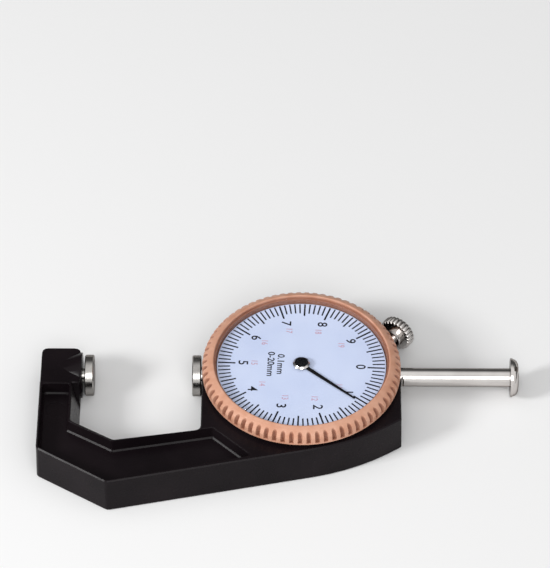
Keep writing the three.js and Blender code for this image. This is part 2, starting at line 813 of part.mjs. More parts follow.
function backlashArborGeometry() {
  return turned([
    [0, bridgeLow + fitGap],
    [pivotRadius, bridgeLow + fitGap],
    [pivotRadius, bridgeHigh + runningGap],
    [arborRadius, bridgeHigh + runningGap],
    [arborRadius, cavityTop - runningGap],
    [pivotRadius, cavityTop - runningGap],
    [pivotRadius, cavityTop + frontWall / 2 - fitGap],
    [0, cavityTop + frontWall / 2 - fitGap],
  ], smallFacets);
}

// Flat spiral whose radius grows evenly with its angle, ending at its stud
function hairspringPoints() {
  const stepsPerTurn = 16;
  const steps = hairspringTurns * stepsPerTurn;
  const end = hairspringOuter - hairspringStudRadius - hairspringWire - fitGap;
  return Array.from({ length: steps + 1 }, (unused, k) => {
    const angle = 2 * Math.PI * (k - steps) / stepsPerTurn;
    const radius = hairspringInner + (end - hairspringInner) * k / steps;
    return new THREE.Vector3(radius * Math.cos(angle), radius * Math.sin(angle), hairspringLevel);
  });
}

// Extension spring: a hook round the post, a helix that swells from the axis, a hook round the guide pin
function returnSpringPoints() {
  const hookSteps = 7;
  const stepsPerCoil = 8;
  const steps = springCoils * stepsPerCoil;
  const hookRadius = springPostRadius + springWire + springHookGap;
  const hook = Array.from({ length: hookSteps }, (unused, k) => {
    const angle = springHookEnd + springHookTurn * (1 - k / (hookSteps - 1));
    return [hookRadius * Math.cos(angle), hookRadius * Math.sin(angle)];
  });
  const [start, end] = [-springPostReach, guidePinReach];
  const helix = Array.from({ length: steps + 1 }, (unused, k) => {
    const turn = Math.min(k, steps - k) / stepsPerCoil;
    const radius = springCoilRadius * Math.min(1, turn);
    const angle = 2 * Math.PI * k / stepsPerCoil;
    const x = start + springLead + (end - start - 2 * springLead) * k / steps;
    return new THREE.Vector3(x, radius * Math.sin(angle), radius * Math.cos(angle));
  });
  return [
    ...hook.map(([along, aside]) => new THREE.Vector3(start + along, aside, 0)),
    ...helix,
    ...hook.toReversed().map(([along, aside]) => new THREE.Vector3(end - along, 0, aside)),
  ];
}

function returnSpringGeometry() {
  const path = returnSpringPoints();
  console.log(`return spring least gap to itself ${
    leastSelfGap(path, springWire, Math.PI * springCoilRadius).toFixed(2)} mm`);
  return tube(path, springWire, wireSides).translate(0, springY, spindleZ);
}

function hairspringGeometry() {
  const path = hairspringPoints();
  console.log(`hairspring least gap to itself ${
    leastSelfGap(path, hairspringWire, Math.PI * hairspringInner).toFixed(2)} mm`);
  return tube(path, hairspringWire, wireSides).translate(0, gearY, 0);
}

function bridgeGeometry() {
  const bridgeHalfLength = bridgeScrewReach + bridgeHalfWidth;
  const rounding = Math.min(bridgeTongue, bridgeHalfWidth) - edgeBreak;
  const bar = prism(rounded([
    [-bridgeHalfLength, gearY - bridgeHalfWidth],
    [bridgeHalfLength, gearY - bridgeHalfWidth],
    [bridgeHalfLength, gearY + bridgeHalfWidth],
    [bridgeTongue, gearY + bridgeHalfWidth],
    [bridgeTongue, bridgeTongue],
    [-bridgeTongue, bridgeTongue],
    [-bridgeTongue, gearY + bridgeHalfWidth],
    [-bridgeHalfLength, gearY + bridgeHalfWidth],
  ].map(([x, y]) => new THREE.Vector2(x, y)), rounding), bridgeLow, bridgeHigh);
  const sunk = screwHeadRadius + fitGap;
  const screwHoles = bridgeScrewPlaces.flatMap(([x, y]) => [
    rod(screwRadius + fitGap, 0, cavityTop).translate(x, y, 0),
    rod(sunk, 0, bridgeLow + screwHeadHeight).translate(x, y, 0),
  ]);
  const pivots = [0, gearY].map((y) => rod(pivotRadius + runningGap, 0, cavityTop).translate(0, y, 0));
  return cut(bar, ...screwHoles, ...pivots);
}

function upperBushGeometry() {
  return turned([
    [upperBushBore, cavityTop],
    [upperBushRadius, cavityTop],
    [upperBushRadius, rimLevel],
    [upperBushBore, rimLevel],
    [upperBushBore, cavityTop],
  ], middleFacets);
}

// Slotted plate that the guide pin runs in, with two feet under the front wall
function guidePlateGeometry() {
  const plate = box(
    [-guidePlateHalfLength, guidePlateY, spindleZ - guidePlateDrop],
    [guidePlateHalfLength, guidePlateFar, cavityTop],
  );
  const feet = guideScrewPlaces.map(([x]) => box(
    [x - guideFootWidth / 2, guidePlateFar - guidePlateThickness / 2, cavityTop - guideFootThickness],
    [x + guideFootWidth / 2, guidePlateFar + guideFootDepth, cavityTop],
  ));
  const half = guidePinRadius + runningGap;
  const slot = box(
    [guidePinReach - spindleTravel - half, guidePlateY - overrun, spindleZ - half],
    [guidePinReach + half, guidePlateFar + overrun, spindleZ + half],
  );
  const holes = guideScrewPlaces.map(([x, y]) => rod(screwRadius + fitGap, 0, rimLevel).translate(x, y, 0));
  return cut(join(plate, ...feet), slot, ...holes);
}

function bezelWireGeometry() {
  const inner = seatRadius - wireGrooveDepth + runningGap;
  const outline = (radius) => Array.from({ length: bigFacets + 1 }, (unused, k) => {
    const angle = wireOpening / 2 + (2 * Math.PI - wireOpening) * k / bigFacets;
    return new THREE.Vector2(radius * Math.cos(angle), radius * Math.sin(angle));
  });
  const low = (wireGrooveLow + wireGrooveHigh - wireThickness) / 2;
  return prism([...outline(inner + wireWidth), ...outline(inner).reverse()], low, low + wireThickness);
}

// Tool for one flute: a groove with a flat floor and sloping sides, which leans in over the shoulder
function fluteTool() {
  const section = (depth, z) => {
    const half = fluteWidth / 2;
    const floor = bezelRadius - depth;
    return [[floor, -half / 2], [floor + depth + overrun, -half], [floor + depth + overrun, half],
      [floor, half / 2]].map(([x, y]) => new THREE.Vector3(x, y, z));
  };
  const lean = fluteDepth + (bezelTop - bezelShoulder) / 2;
  return loft([
    section(fluteDepth, bezelLow + bezelRimHeight),
    section(fluteDepth, bezelShoulder),
    section(lean, bezelTop),
  ]);
}

function bezelGeometry() {
  const bore = seatRadius + bezelGap;
  const groove = seatRadius - wireGrooveDepth + runningGap + wireWidth + bezelGap;
  const slope = bezelTop - bezelShoulder;
  const body = turned([
    [0, bezelLow],
    [bezelRadius - bezelEdge, bezelLow],
    [bezelRadius, bezelLow + bezelEdge],
    [bezelRadius, bezelShoulder],
    ...shoulderShares.map(([inwards, upwards]) => [
      bezelRadius - slope * inwards, bezelShoulder + slope * upwards]),
    [bezelLipRadius, bezelTop],
    [0, bezelTop],
  ], fluteCount).rotateZ(flutePhase - Math.PI / 2 + Math.PI / fluteCount);
  const inside = turned([
    [0, bezelLow - overrun],
    [bore, bezelLow - overrun],
    [bore, wireGrooveLow - fitGap],
    [groove, wireGrooveLow - fitGap],
    [groove, wireGrooveHigh + fitGap],
    [bore, wireGrooveHigh + fitGap],
    [bore, dialLow],
    [dialRadius + dialGap, dialLow],
    [dialRadius + dialGap, crystalLow],
    [crystalRadius + crystalGap, crystalLow],
    [crystalRadius + crystalGap, bezelTop + overrun],
    [0, bezelTop + overrun],
  ], bigFacets);
  const flutes = Array.from({ length: fluteCount }, (unused, k) => fluteTool()
    .rotateZ(flutePhase - Math.PI / 2 + 2 * Math.PI * k / fluteCount));
  return cut(body, inside, ...flutes);
}

function dialGeometry() {
  return turned([
    [dialHole, dialLow],
    [dialRadius, dialLow],
    [dialRadius, dialLevel],
    [dialHole, dialLevel],
    [dialHole, dialLow],
  ], bigFacets);
}

// Clear cap: a flat disc with a thin skirt that holds the dial down
function crystalGeometry() {
  const low = bezelTop - crystalThickness;
  return turned([
    [0, low],
    [skirtRadius - skirtWall, low],
    [skirtRadius - skirtWall, dialLevel + crystalGap],
    [skirtRadius, dialLevel + crystalGap],
    [skirtRadius, low],
    [crystalRadius, low],
    [crystalRadius, bezelTop - edgeBreak / 2],
    [crystalRadius - edgeBreak / 2, bezelTop],
    [0, bezelTop],
  ], bigFacets);
}

function pointerGeometry() {
  const top = pointerLevel + pointerThickness;
  const blade = prism([
    [-pointerTail, pointerRoot / 2],
    [-pointerTail, -pointerRoot / 2],
    [pointerReach, -pointerTip / 2],
    [pointerReach, pointerTip / 2],
  ].map(([x, y]) => new THREE.Vector2(x, y)), pointerLevel, top);
  const boss = rod(pointerBossRadius, pointerLevel, top + pointerBossHeight, middleFacets);
  return cut(join(blade, boss), rod(pointerPin + fitGap, dialLow, bezelTop));
}

function pointerCapGeometry() {
  const low = pointerLevel + pointerThickness + pointerBossHeight;
  const top = low + pointerCapHeight;
  const cap = turned([
    [0, low],
    [pointerCapRadius, low],
    [pointerCapRadius, top - pointerCapChamfer],
    [pointerCapRadius - pointerCapChamfer, top],
    [0, top],
  ], middleFacets);
  return cut(cap, rod(pointerPin + fitGap, low - overrun, low + pointerCapHeight / 2 + fitGap));
}

// Lock screw: pointed thread, collar and a head with straight knurls
function lockScrewGeometry() {
  const knurl = (radius) => Array.from({ length: 3 * knurlCount }, (unused, k) => {
    const angle = 2 * Math.PI * k / (3 * knurlCount);
    const at = radius - (k % 3 ? 0 : knurlDepth);
    return new THREE.Vector2(at * Math.cos(angle), at * Math.sin(angle));
  });
  const head = loft([
    atLevel(knurl(lockHeadRadius - knurlEdge), lockHeadStart),
    atLevel(knurl(lockHeadRadius), lockHeadStart + knurlEdge),
    atLevel(knurl(lockHeadRadius), lockHeadStart + lockHeadThickness - knurlEdge),
    atLevel(knurl(lockHeadRadius - knurlEdge), lockHeadStart + lockHeadThickness),
  ]);
  const stem = turned([
    [0, lockTip],
    [lockTipRadius, lockTip],
    [lockRadius, lockTip + lockTipLength],
    [lockRadius, lockHeadStart - lockCollar],
    [lockCollarRadius, lockHeadStart - lockCollar],
    [lockCollarRadius, lockHeadStart + lockCollar],
    [0, lockHeadStart + lockCollar],
  ], smallFacets);
  return join(head, stem);
}

// Finishes, from what each piece is made of
const finish = (color, roughness, metalness, extra = {}) => new THREE.MeshStandardMaterial(
  { color, roughness, metalness, ...extra });
const finishes = {
  blackPlastic: () => finish(0x121214, 0.35, 0),
  brushedSteel: () => finish(0xc9c9c6, 0.3, 1),
  chrome: () => finish(0xdedede, 0.12, 1),
  brass: () => finish(0xc2a05a, 0.35, 1),
  springSteel: () => finish(0x8b8f94, 0.35, 1),
  copperPlastic: () => finish(0xd19a73, 0.45, 0.1),
  dialEnamel: () => finish(0xdfe6f5, 0.5, 0),
  clear: () => finish(0xffffff, 0.05, 0, { transparent: true, opacity: 0.25 }),
  blackPaint: () => finish(0x0b0b0c, 0.35, 0),
};

function piece(name, geometry, makeFinish) {
  const mesh = new THREE.Mesh(geometry, makeFinish());
  mesh.name = name;
  return mesh;
}

// Puts copies of one screw at a list of places
function screws(name, places, level, length) {
  return places.map(([x, y], index) => {
    const screw = piece(`${name}_${index + 1}`, screwGeometry(length), finishes.brushedSteel);
    screw.position.set(x, y, level);
    return screw;
  });
}

function caseGroup() {
  const group = new THREE.Group();
  group.add(piece('frame', frameGeometry(), finishes.blackPlastic));
  group.add(piece('rear_cover', rearCoverGeometry(), finishes.blackPlastic));
  group.add(...screws('rear_cover_screw', coverScrewPlaces, screwSink, screwLength));
  group.add(piece('bezel_retaining_wire', bezelWireGeometry(), finishes.springSteel));
  const frontBush = piece('spindle_bush_front', bushGeometry(), finishes.brass);
  frontBush.position.set(-bodyRadius, spindleY, spindleZ);
  frontBush.rotation.y = Math.PI / 2;
  const rearBush = piece('spindle_bush_rear', bushGeometry(), finishes.brass);
  rearBush.position.set(bodyRadius - bushLength, spindleY, spindleZ);
  rearBush.rotation.y = Math.PI / 2;
  const fixedAnvil = piece('fixed_anvil', anvilGeometry(shankLength - fitGap), finishes.brushedSteel);
  fixedAnvil.position.set(-fixedAnvilFace, spindleY, spindleZ);
  fixedAnvil.rotation.y = Math.PI / 2;
  group.add(frontBush, rearBush, fixedAnvil);
  return group;
}

function movementGroup() {
  const group = new THREE.Group();
  group.add(piece('movement_bridge', bridgeGeometry(), finishes.brass));
  group.add(...screws('bridge_screw', bridgeScrewPlaces, bridgeLow, screwLength));
  group.add(piece('pinion_bush', upperBushGeometry(), finishes.brass));
  group.add(piece('guide_plate', guidePlateGeometry(), finishes.brushedSteel));
  group.add(...screws('guide_plate_screw', guideScrewPlaces,
    cavityTop - guideFootThickness - screwHeadHeight, guideFootThickness + frontWall / 2 - fitGap));
  const post = rod(springPostRadius, spindleZ - 2 * springCoilRadius, cavityTop + frontWall / 2 - fitGap)
    .translate(-springPostReach, springY, 0);
  group.add(piece('spring_post', post, finishes.brushedSteel));
  group.add(piece('return_spring', returnSpringGeometry(), finishes.springSteel));
  const stud = rod(hairspringStudRadius, hairspringLevel - hairspringStudRadius,
    cavityTop + frontWall / 2 - fitGap).translate(...studPlace, 0);
  group.add(piece('hairspring_stud', stud, finishes.brass));
  group.add(piece('hairspring', hairspringGeometry(), finishes.springSteel));
  return group;
}

function spindleGroup() {
  const group = new THREE.Group();
  group.position.set(0, spindleY, spindleZ);
  group.add(piece('spindle', spindleGeometry(), finishes.chrome));
  const anvil = piece('moving_anvil', movingAnvilGeometry(), finishes.brushedSteel);
  anvil.position.x = movingAnvilFace;
  anvil.rotation.y = -Math.PI / 2;
  const button = piece('spindle_button', buttonGeometry(), finishes.chrome);
  button.position.x = spindleReach;
  button.rotation.y = Math.PI / 2;
  const pin = piece('guide_pin', rod(guidePinRadius, 0, guidePinEnd - spindleY), finishes.brushedSteel);
  pin.position.x = guidePinReach;
  pin.rotation.x = -Math.PI / 2;
  group.add(anvil, button, pin);
  return group;
}

// The pinion is in mesh with the rack: a gap of the pinion faces the rack when the gauge is closed
function pinionGroup() {
  const group = new THREE.Group();
  const arbor = piece('pinion_arbor', pinionGeometry(), finishes.brushedSteel);
  arbor.rotation.z = Math.PI / 2 + Math.PI / pinionTeeth + pinionTurn;
  const pointer = piece('pointer', pointerGeometry(), finishes.blackPaint);
  pointer.rotation.z = pointerTurn;
  const cap = piece('pointer_cap', pointerCapGeometry(), finishes.blackPaint);
  cap.rotation.z = pointerTurn;
  group.add(arbor, pointer, cap);
  return group;
}

// The gear has a gap where the pinion has a tooth, on the line between their centres
function backlashGroup() {
  const group = new THREE.Group();
  group.position.y = gearY;
  const pinionTooth = Math.PI / 2 + Math.PI / pinionTeeth + pinionTurn;
  const lead = (pinionTooth + Math.PI / 2) * pinionTeeth / gearTeeth;
  const gear = piece('backlash_gear', backlashGearGeometry(), finishes.brass);
  gear.rotation.z = Math.PI / 2 + Math.PI / gearTeeth - lead;
  group.add(gear, piece('backlash_arbor', backlashArborGeometry(), finishes.brushedSteel));
  return group;
}

function bezelGroup() {
  const group = new THREE.Group();
  group.add(piece('bezel', bezelGeometry(), finishes.copperPlastic));
  group.add(piece('dial_plate', dialGeometry(), finishes.dialEnamel));
  group.add(piece('crystal', crystalGeometry(), finishes.clear));
  return group;
}

function lockGroup() {
  const axis = new THREE.Group();
  axis.position.set(lockCrossing, spindleY, spindleZ);
  axis.rotation.z = lockTurn;
  const screw = piece('lock_screw', lockScrewGeometry(), finishes.chrome);
  screw.rotation.y = Math.PI / 2;
  axis.add(screw);
  return axis;
}

const group = new THREE.Group();
group.add(caseGroup(), movementGroup(), spindleGroup(), pinionGroup());
group.add(backlashGroup(), bezelGroup(), lockGroup());

export default group;
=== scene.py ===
"""Looks of the dial thickness gauge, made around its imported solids.

Points and profiles are written in millimetres in the part's own frame, where the dial's axis is Z
and the spindle runs along X. The factor MM takes them to metres.
"""

import json
import math

import bmesh
import bpy
import numpy as np
from mathutils import Matrix, Vector


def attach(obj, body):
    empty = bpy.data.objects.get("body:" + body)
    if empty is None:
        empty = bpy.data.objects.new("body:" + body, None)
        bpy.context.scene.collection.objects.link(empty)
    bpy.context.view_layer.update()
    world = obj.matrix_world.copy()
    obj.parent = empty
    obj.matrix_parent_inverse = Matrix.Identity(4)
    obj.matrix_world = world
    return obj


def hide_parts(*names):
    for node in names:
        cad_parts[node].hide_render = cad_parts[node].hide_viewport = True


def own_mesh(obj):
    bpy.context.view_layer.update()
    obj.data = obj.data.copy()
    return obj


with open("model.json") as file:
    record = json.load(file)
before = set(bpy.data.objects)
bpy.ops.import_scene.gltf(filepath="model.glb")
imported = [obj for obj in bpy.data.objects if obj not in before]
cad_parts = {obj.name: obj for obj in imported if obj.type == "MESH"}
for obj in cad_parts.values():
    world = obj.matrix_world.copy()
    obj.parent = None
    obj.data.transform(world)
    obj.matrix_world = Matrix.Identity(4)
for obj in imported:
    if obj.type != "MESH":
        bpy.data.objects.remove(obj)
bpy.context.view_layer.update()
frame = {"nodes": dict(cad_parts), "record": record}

MM = 0.001
TURN = 2 * math.pi

# Points of a solid's mesh that lie closer than this are one point
SAME_POINT = 0.0005 * MM

# Where the photograph was taken from, which way, and the focal length for its 568-pixel side
EYE = Vector((-1.114, -573.619, 638.954)) * MM
LOOK = Vector((-0.005417, 0.689615, -0.724156))
LENS = 253.5

# The spindle's axis and travel, and where its return spring's coil starts and ends
SPINDLE_Y, SPINDLE_Z = 3.15, 4.6
TRAVEL = 21.06
COIL_FIRST, COIL_LAST = -13.7, 10.3

# Turns of the dial and of the pointer, which goes round once in 10 mm of travel
DIAL_TURN = math.radians(-2.35)
POINTER_TURN = DIAL_TURN - TRAVEL / 10 * TURN

# Turn of the button that brings its slot to where it was photographed
BUTTON_TURN = math.radians(30.5)

# Levels above the back of the frame, and radii from the dial's axis
BEZEL_LOW, BEZEL_RADIUS = 9.8, 21.1
DIAL_LOW, DIAL_TOP, DIAL_RADIUS = 11.1, 11.6, 18.0
INK_LOW, INK_TOP = 11.604, 11.63
POINTER_LOW, POINTER_TOP = 11.85, 12.0
BOSS_TOP, DOME_LOW = 12.2, 12.6
CRYSTAL_LOW, CRYSTAL_TOP = 12.75, 13.4

# Flutes of the bezel. The half width is a share of their spacing, and above the shoulder their
# floor leans in by a share of the height
FLUTES = 72
FLUTE_TURN = math.radians(-85.6)
FLUTE_HALF = 0.27
FLUTE_DEPTH = 0.55
FLUTE_LOW = 10.25
FLUTE_LEAN = 0.45
SHOULDER = 11.5

# How strongly painted shade darkens the crystal's seat in the bezel, where 1 is the floor of a
# flute
SEAT_SHADE = 0.7

# Levels of the case's moulded edges, and their rounding: rim, jaw's step and ejector's mark
CASE_EDGES = ((9.0, 0.14), (8.0, 0.14), (6.0, 0.06))

# Lock screw: where its axis crosses the spindle's, the turn of that axis, and its head's knurls
LOCK_CROSSING = (11.95, SPINDLE_Y, SPINDLE_Z)
LOCK_TURN = math.radians(56)
KNURLS = 24
KNURL_DEPTH = 0.35
KNURL_POWER = 0.6

# Strokes of the dial: their outer end, then the inner end and half width of each kind
STROKE_OUTER = 17.75
LONG_STROKE = (14.05, 0.18)
MIDDLE_STROKE = (14.4, 0.17)
SHORT_STROKE = (15.15, 0.15)


def linear(code):
    """An sRGB hex colour as linear RGBA. Dark values are divided by 12.92, and the others are
    taken to the power 2.4."""
    parts = np.array([int(code[i : i + 2], 16) / 255 for i in (1, 3, 5)])
    value = np.where(parts <= 0.04045, parts / 12.92, ((parts + 0.055) / 1.055) ** 2.4)
    return (*value.tolist(), 1.0)


def per_mm(size):
    """Scale of a noise or wave whose features are this many millimetres wide."""
    return 1 / (size * MM)


def add(tree, kind, links=None, **settings):
    """Adds a node with its incoming links and its settings, named as its sockets or fields are."""
    node = tree.nodes.new("ShaderNode" + kind)
    for name, value in settings.items():
        socket = node.inputs.get(name.replace("_", " "))
        if socket is None:
            setattr(node, name, value)
        else:
            socket.default_value = value
    for name, source in (links or {}).items():
        tree.links.new(source, node.inputs[name])
    return node


def finish(name, **settings):
    """A material with one surface shader. Gives the material, its tree, the shader and the
    object's coordinates."""
    material = bpy.data.materials.new(name)
    material.use_nodes = True
    tree = material.node_tree
    shader = tree.nodes["Principled BSDF"]
    for key, value in settings.items():
        shader.inputs[key.replace("_", " ")].default_value = value
    return material, tree, shader, add(tree, "TexCoord").outputs["Object"]


def mottled(tree, shader, place, size, dark, pale):
    """Colour that drifts between two tones over patches of the given size."""
    noise = add(tree, "TexNoise", {"Vector": place}, Scale=per_mm(size), Detail=3.0)
    tones = add(tree, "ValToRGB", {"Fac": noise.outputs["Fac"]})
    low, high = tones.color_ramp.elements
    low.position, low.color = 0.3, linear(dark)
    high.position, high.color = 0.7, linear(pale)
    tree.links.new(tones.outputs["Color"], shader.inputs["Base Color"])


def uneven_gloss(tree, shader, place, size, low, high):
    """Roughness that drifts between two values over patches of the given size."""
    noise = add(tree, "TexNoise", {"Vector": place}, Scale=per_mm(size), Detail=4.0)
    gloss = add(tree, "MapRange", {"Value": noise.outputs["Fac"]}, To_Min=low, To_Max=high)
    tree.links.new(gloss.outputs["Result"], shader.inputs["Roughness"])


def fine_relief(tree, shader, place, size, detail, depth):
    """Relief from a noise, with the size of its grains and its depth in millimetres."""
    noise = add(tree, "TexNoise", {"Vector": place}, Scale=per_mm(size), Detail=detail)
    bump = add(tree, "Bump", {"Height": noise.outputs["Fac"]}, Distance=depth * MM, Strength=1.0)
    tree.links.new(bump.outputs["Normal"], shader.inputs["Normal"])


def black_abs():
    """ABS, injection moulded in black: a half-gloss skin with a faint orange peel and handling
    haze."""
    material, tree, shader, place = finish("black ABS", IOR=1.53, Specular_IOR_Level=0.085)
    mottled(tree, shader, place, 11, "#100b0e", "#191316")
    uneven_gloss(tree, shader, place, 4, 0.2, 0.34)
    # The real peel is about 0.5 mm, drawn at 1.2 mm so that it shows
    fine_relief(tree, shader, place, 1.2, 3.0, 0.014)
    return material


def copper_abs():
    """ABS, copper tinted and moulded with a fine satin texture: soft highlights and no clear
    reflections. Painted shade darkens the bottoms of the flutes and the crystal's seat."""
    material, tree, shader, place = finish("copper-tinted ABS", IOR=1.53, Specular_IOR_Level=0.25)
    mottled(tree, shader, place, 2.2, "#c38d73", "#d1a088")
    unshaded = shader.inputs["Base Color"].links[0].from_socket
    painted_shade = add(tree, "Attribute", attribute_name="painted_shade")
    # Sockets 0, 6 and 7 are the share and the two colours, and output 2 is their mix
    shade_mix = add(
        tree, "Mix", {0: painted_shade.outputs["Fac"], 6: unshaded}, data_type="RGBA", blend_type="MULTIPLY"
    )
    # The colour of the painted shade, multiplied in where the flutes and the seat lie deep
    shade_mix.inputs[7].default_value = linear("#a8928b")
    tree.links.new(shade_mix.outputs[2], shader.inputs["Base Color"])
    uneven_gloss(tree, shader, place, 2, 0.36, 0.5)
    # The real texture is about 0.05 mm, drawn at 0.25 mm so that it shows
    fine_relief(tree, shader, place, 0.25, 1.0, 0.006)
    return material


def turned_steel():
    """Steel, ground about the spindle's axis: fine rings, 0.35 mm apart, that catch the light."""
    material, tree, shader, place = finish(
        "ground steel", Metallic=1.0, Specular_Tint=linear("#8f8c8a")
    )
    axis = (0, -SPINDLE_Y * MM, -SPINDLE_Z * MM)
    centre = add(tree, "Mapping", {"Vector": place}, Location=axis)
    mottled(tree, shader, place, 2.5, "#a3a09d", "#bfbcb8")
    uneven_gloss(tree, shader, place, 1.5, 0.16, 0.3)
    # A wave repeats each pi / 10 of its scaled length
    rings = add(
        tree,
        "TexWave",
        {"Vector": centre.outputs["Vector"]},
        wave_type="RINGS",
        rings_direction="X",
        Scale=per_mm(0.35) * math.pi / 10,
        Distortion=1.5,
        Detail=2.0,
        Detail_Scale=0.4,
    )
    bump = add(tree, "Bump", {"Height": rings.outputs["Fac"]}, Distance=0.003 * MM, Strength=1.0)
    tree.links.new(bump.outputs["Normal"], shader.inputs["Normal"])
    return material


def chrome_plate():
    """Chrome plate on steel, polished: a mirror with faint wiping marks, darker at its edges."""
    material, tree, shader, place = finish(
        "polished chrome plate", Metallic=1.0, Specular_Tint=linear("#7d7875")
    )
    mottled(tree, shader, place, 6, "#cbc6c3", "#dad6d3")
    uneven_gloss(tree, shader, place, 3, 0.08, 0.18)
    fine_relief(tree, shader, place, 0.8, 3.0, 0.002)
    return material


def turned_brass():
    """Brass, machined: warm yellow with fine tool marks, dulled a little."""
    material, tree, shader, place = finish("turned brass", Metallic=1.0)
    mottled(tree, shader, place, 2, "#a98748", "#c7a764")
    uneven_gloss(tree, shader, place, 1.2, 0.22, 0.38)
    fine_relief(tree, shader, place, 0.3, 2.0, 0.004)
    return material


def spring_wire():
    """Spring steel, drawn: grey wire with a dull sheen."""
    material, tree, shader, place = finish("drawn spring steel", Metallic=1.0)
    mottled(tree, shader, place, 1.5, "#77797d", "#94969a")
    uneven_gloss(tree, shader, place, 0.8, 0.25, 0.42)
    return material


def dial_enamel():
    """Aluminium sheet, painted: an even pale blue-white enamel, nearly matt, with a trace of
    brushed grain along X."""
    material, tree, shader, place = finish("pale dial enamel", IOR=1.5, Specular_IOR_Level=0.2)
    mottled(tree, shader, place, 12, "#c9d5f2", "#d3def8")
    uneven_gloss(tree, shader, place, 4, 0.45, 0.58)
    brushed = add(tree, "Mapping", {"Vector": place}, Scale=(0.05, 1.0, 1.0))
    fine_relief(tree, shader, brushed.outputs["Vector"], 0.3, 2.0, 0.003)
    return material


def ink(name, dark, pale):
    """Printing ink: a thin matt film whose density drifts a little."""
    material, tree, shader, place = finish(name, Specular_IOR_Level=0.1)
    mottled(tree, shader, place, 0.7, dark, pale)
    uneven_gloss(tree, shader, place, 1, 0.5, 0.65)
    return material


def black_lacquer():
    """Black lacquer on brass: smooth and glossy, so that the cap shows one soft highlight."""
    material, tree, shader, place = finish("black lacquer", IOR=1.5, Specular_IOR_Level=0.12)
    mottled(tree, shader, place, 1, "#050507", "#0b0a0e")
    uneven_gloss(tree, shader, place, 1, 0.14, 0.26)
    return material


def clear_acrylic():
    """Acrylic, moulded clear: it shows the dial undistorted, under a faint mirror that grows at
    low angles. The surface is open but for that mirror's share."""
    material, tree, shader, place = finish(
        "clear acrylic", Metallic=1.0, Base_Color=linear("#fbfcff")
    )
    uneven_gloss(tree, shader, place, 9, 0.02, 0.05)
    share = add(tree, "LayerWeight", Blend=0.02).outputs["Facing"]
    clear = add(tree, "BsdfTransparent").outputs["BSDF"]
    body = add(tree, "MixShader", {0: share, 1: clear, 2: shader.outputs["BSDF"]})
    tree.links.new(body.outputs[0], tree.nodes["Material Output"].inputs["Surface"])
    return material


FINISHES = {
    "moulded_case": black_abs(),
    "ground_steel": turned_steel(),
    "chrome_plate": chrome_plate(),
    "turned_brass": turned_brass(),
    "spring_steel": spring_wire(),
    "bezel_plastic": copper_abs(),
    "dial_paint": dial_enamel(),
    "clear_acrylic": clear_acrylic(),
    "pointer_paint": black_lacquer(),
}
BLACK_INK = ink("black printing ink", "#101019", "#191922")
RED_INK = ink("faded red printing ink", "#c49aad", "#cfa8ba")

BODIES = frame["record"]["behaviour"]["bodies"]
BODY_OF = {node: body for body, nodes in BODIES.items() for node in nodes}
SLOT_OF = {part["node"]: part["material_slot"] for part in frame["record"]["subparts"]}


def added(name, data):
    """A new object in the scene for a mesh, text, lamp or camera."""
    thing = bpy.data.objects.new(name, data)
    bpy.context.scene.collection.objects.link(thing)
    return thing


def shaded(name, mesh, sharp):
    """An object at the origin for a mesh, smooth up to the sharp angle in degrees."""
    mesh.shade_smooth()
    mesh.set_sharp_from_angle(angle=math.radians(sharp))
    return added(name, mesh)


def coat(mesh, material):
    """Gives all of a mesh one material."""
    mesh.materials.clear()
    mesh.materials.append(material)


def mesh_object(name, points, faces, materials, sharp=35):
    """An object from an array of points in millimetres and a list of faces."""
    mesh = bpy.data.meshes.new(name)
    mesh.from_pydata((np.asarray(points) * MM).tolist(), [], faces)
    for material in materials:
        mesh.materials.append(material)
    mesh.validate()
    return shaded(name, mesh, sharp)


def merged(node):
    """A CAD node's mesh to work on, with its loose triangles merged."""
    build = bmesh.new()
    build.from_mesh(frame["nodes"][node].data)
    bmesh.ops.remove_doubles(build, verts=build.verts, dist=SAME_POINT)
    return build


def mesh_from(build, name):
    """A new mesh from what was worked on."""
    mesh = bpy.data.meshes.new(name)
    build.to_mesh(mesh)
    build.free()
    return mesh


def field(items, name, kind, width=1):
    """A field of all of a mesh's items as an array, with one row each where it has a width."""
    values = np.empty(len(items) * width, kind)
    items.foreach_get(name, values)
    return values.reshape(-1, width) if width > 1 else values


def stands_for(piece, node):
    """The piece rides with the node's body and stands for it: the node is hidden."""
    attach(piece, BODY_OF[node])
    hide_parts(node)


def printed(piece):
    """The piece is print on the dial: it turns with the bezel."""
    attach(piece, "bezel_set")


def grid_faces(rows, columns, closed):
    """Faces between rows of a grid of points. The last column joins the first, and if closed the
    last row does too."""
    r, c = np.indices((rows if closed else rows - 1, columns)).reshape(2, -1)
    up, right = (r + 1) % rows, (c + 1) % columns
    corners = [r * columns + c, r * columns + right, up * columns + right, up * columns + c]
    return np.stack(corners, axis=1)


def turned_piece(name, profile, angles, materials, place=None, ripple=None, ring=False, sharp=35):
    """A profile of (radius, height) pairs turned about Z: x = r cos t, y = r sin t, z = h. It runs
    from the axis at the bottom to the axis at the top, or round a ring. Poles are single points,
    closed by fans. The ripple (t, r, h) gives each point's radius, and the place moves and turns
    the whole piece."""
    profile = np.asarray(profile, float)
    count = len(angles)
    t, r = np.meshgrid(angles, profile[:, 0])
    h = np.broadcast_to(profile[:, 1:], t.shape)
    if ripple is not None:
        r = ripple(t, r, h)
    points = np.stack([r * np.cos(t), r * np.sin(t), h], axis=-1)
    rows = len(points)
    if ring:
        flat = points.reshape(-1, 3)
        faces = grid_faces(rows, count, True).tolist()
    else:
        flat = np.concatenate([points[1:-1].reshape(-1, 3), points[0, :1], points[-1, :1]])
        faces = grid_faces(rows - 2, count, False).tolist()
        low, high = len(flat) - 2, len(flat) - 1
        last = (rows - 3) * count
        around = np.arange(count)
        ahead = (around + 1) % count
        faces += np.stack([np.full(count, low), ahead, around], axis=1).tolist()
        faces += np.stack([np.full(count, high), last + around, last + ahead], axis=1).tolist()
    if place is not None:
        flat = flat @ np.array(place.to_3x3()).T + np.array(place.translation)
    return mesh_object(name, flat, faces, materials, sharp)


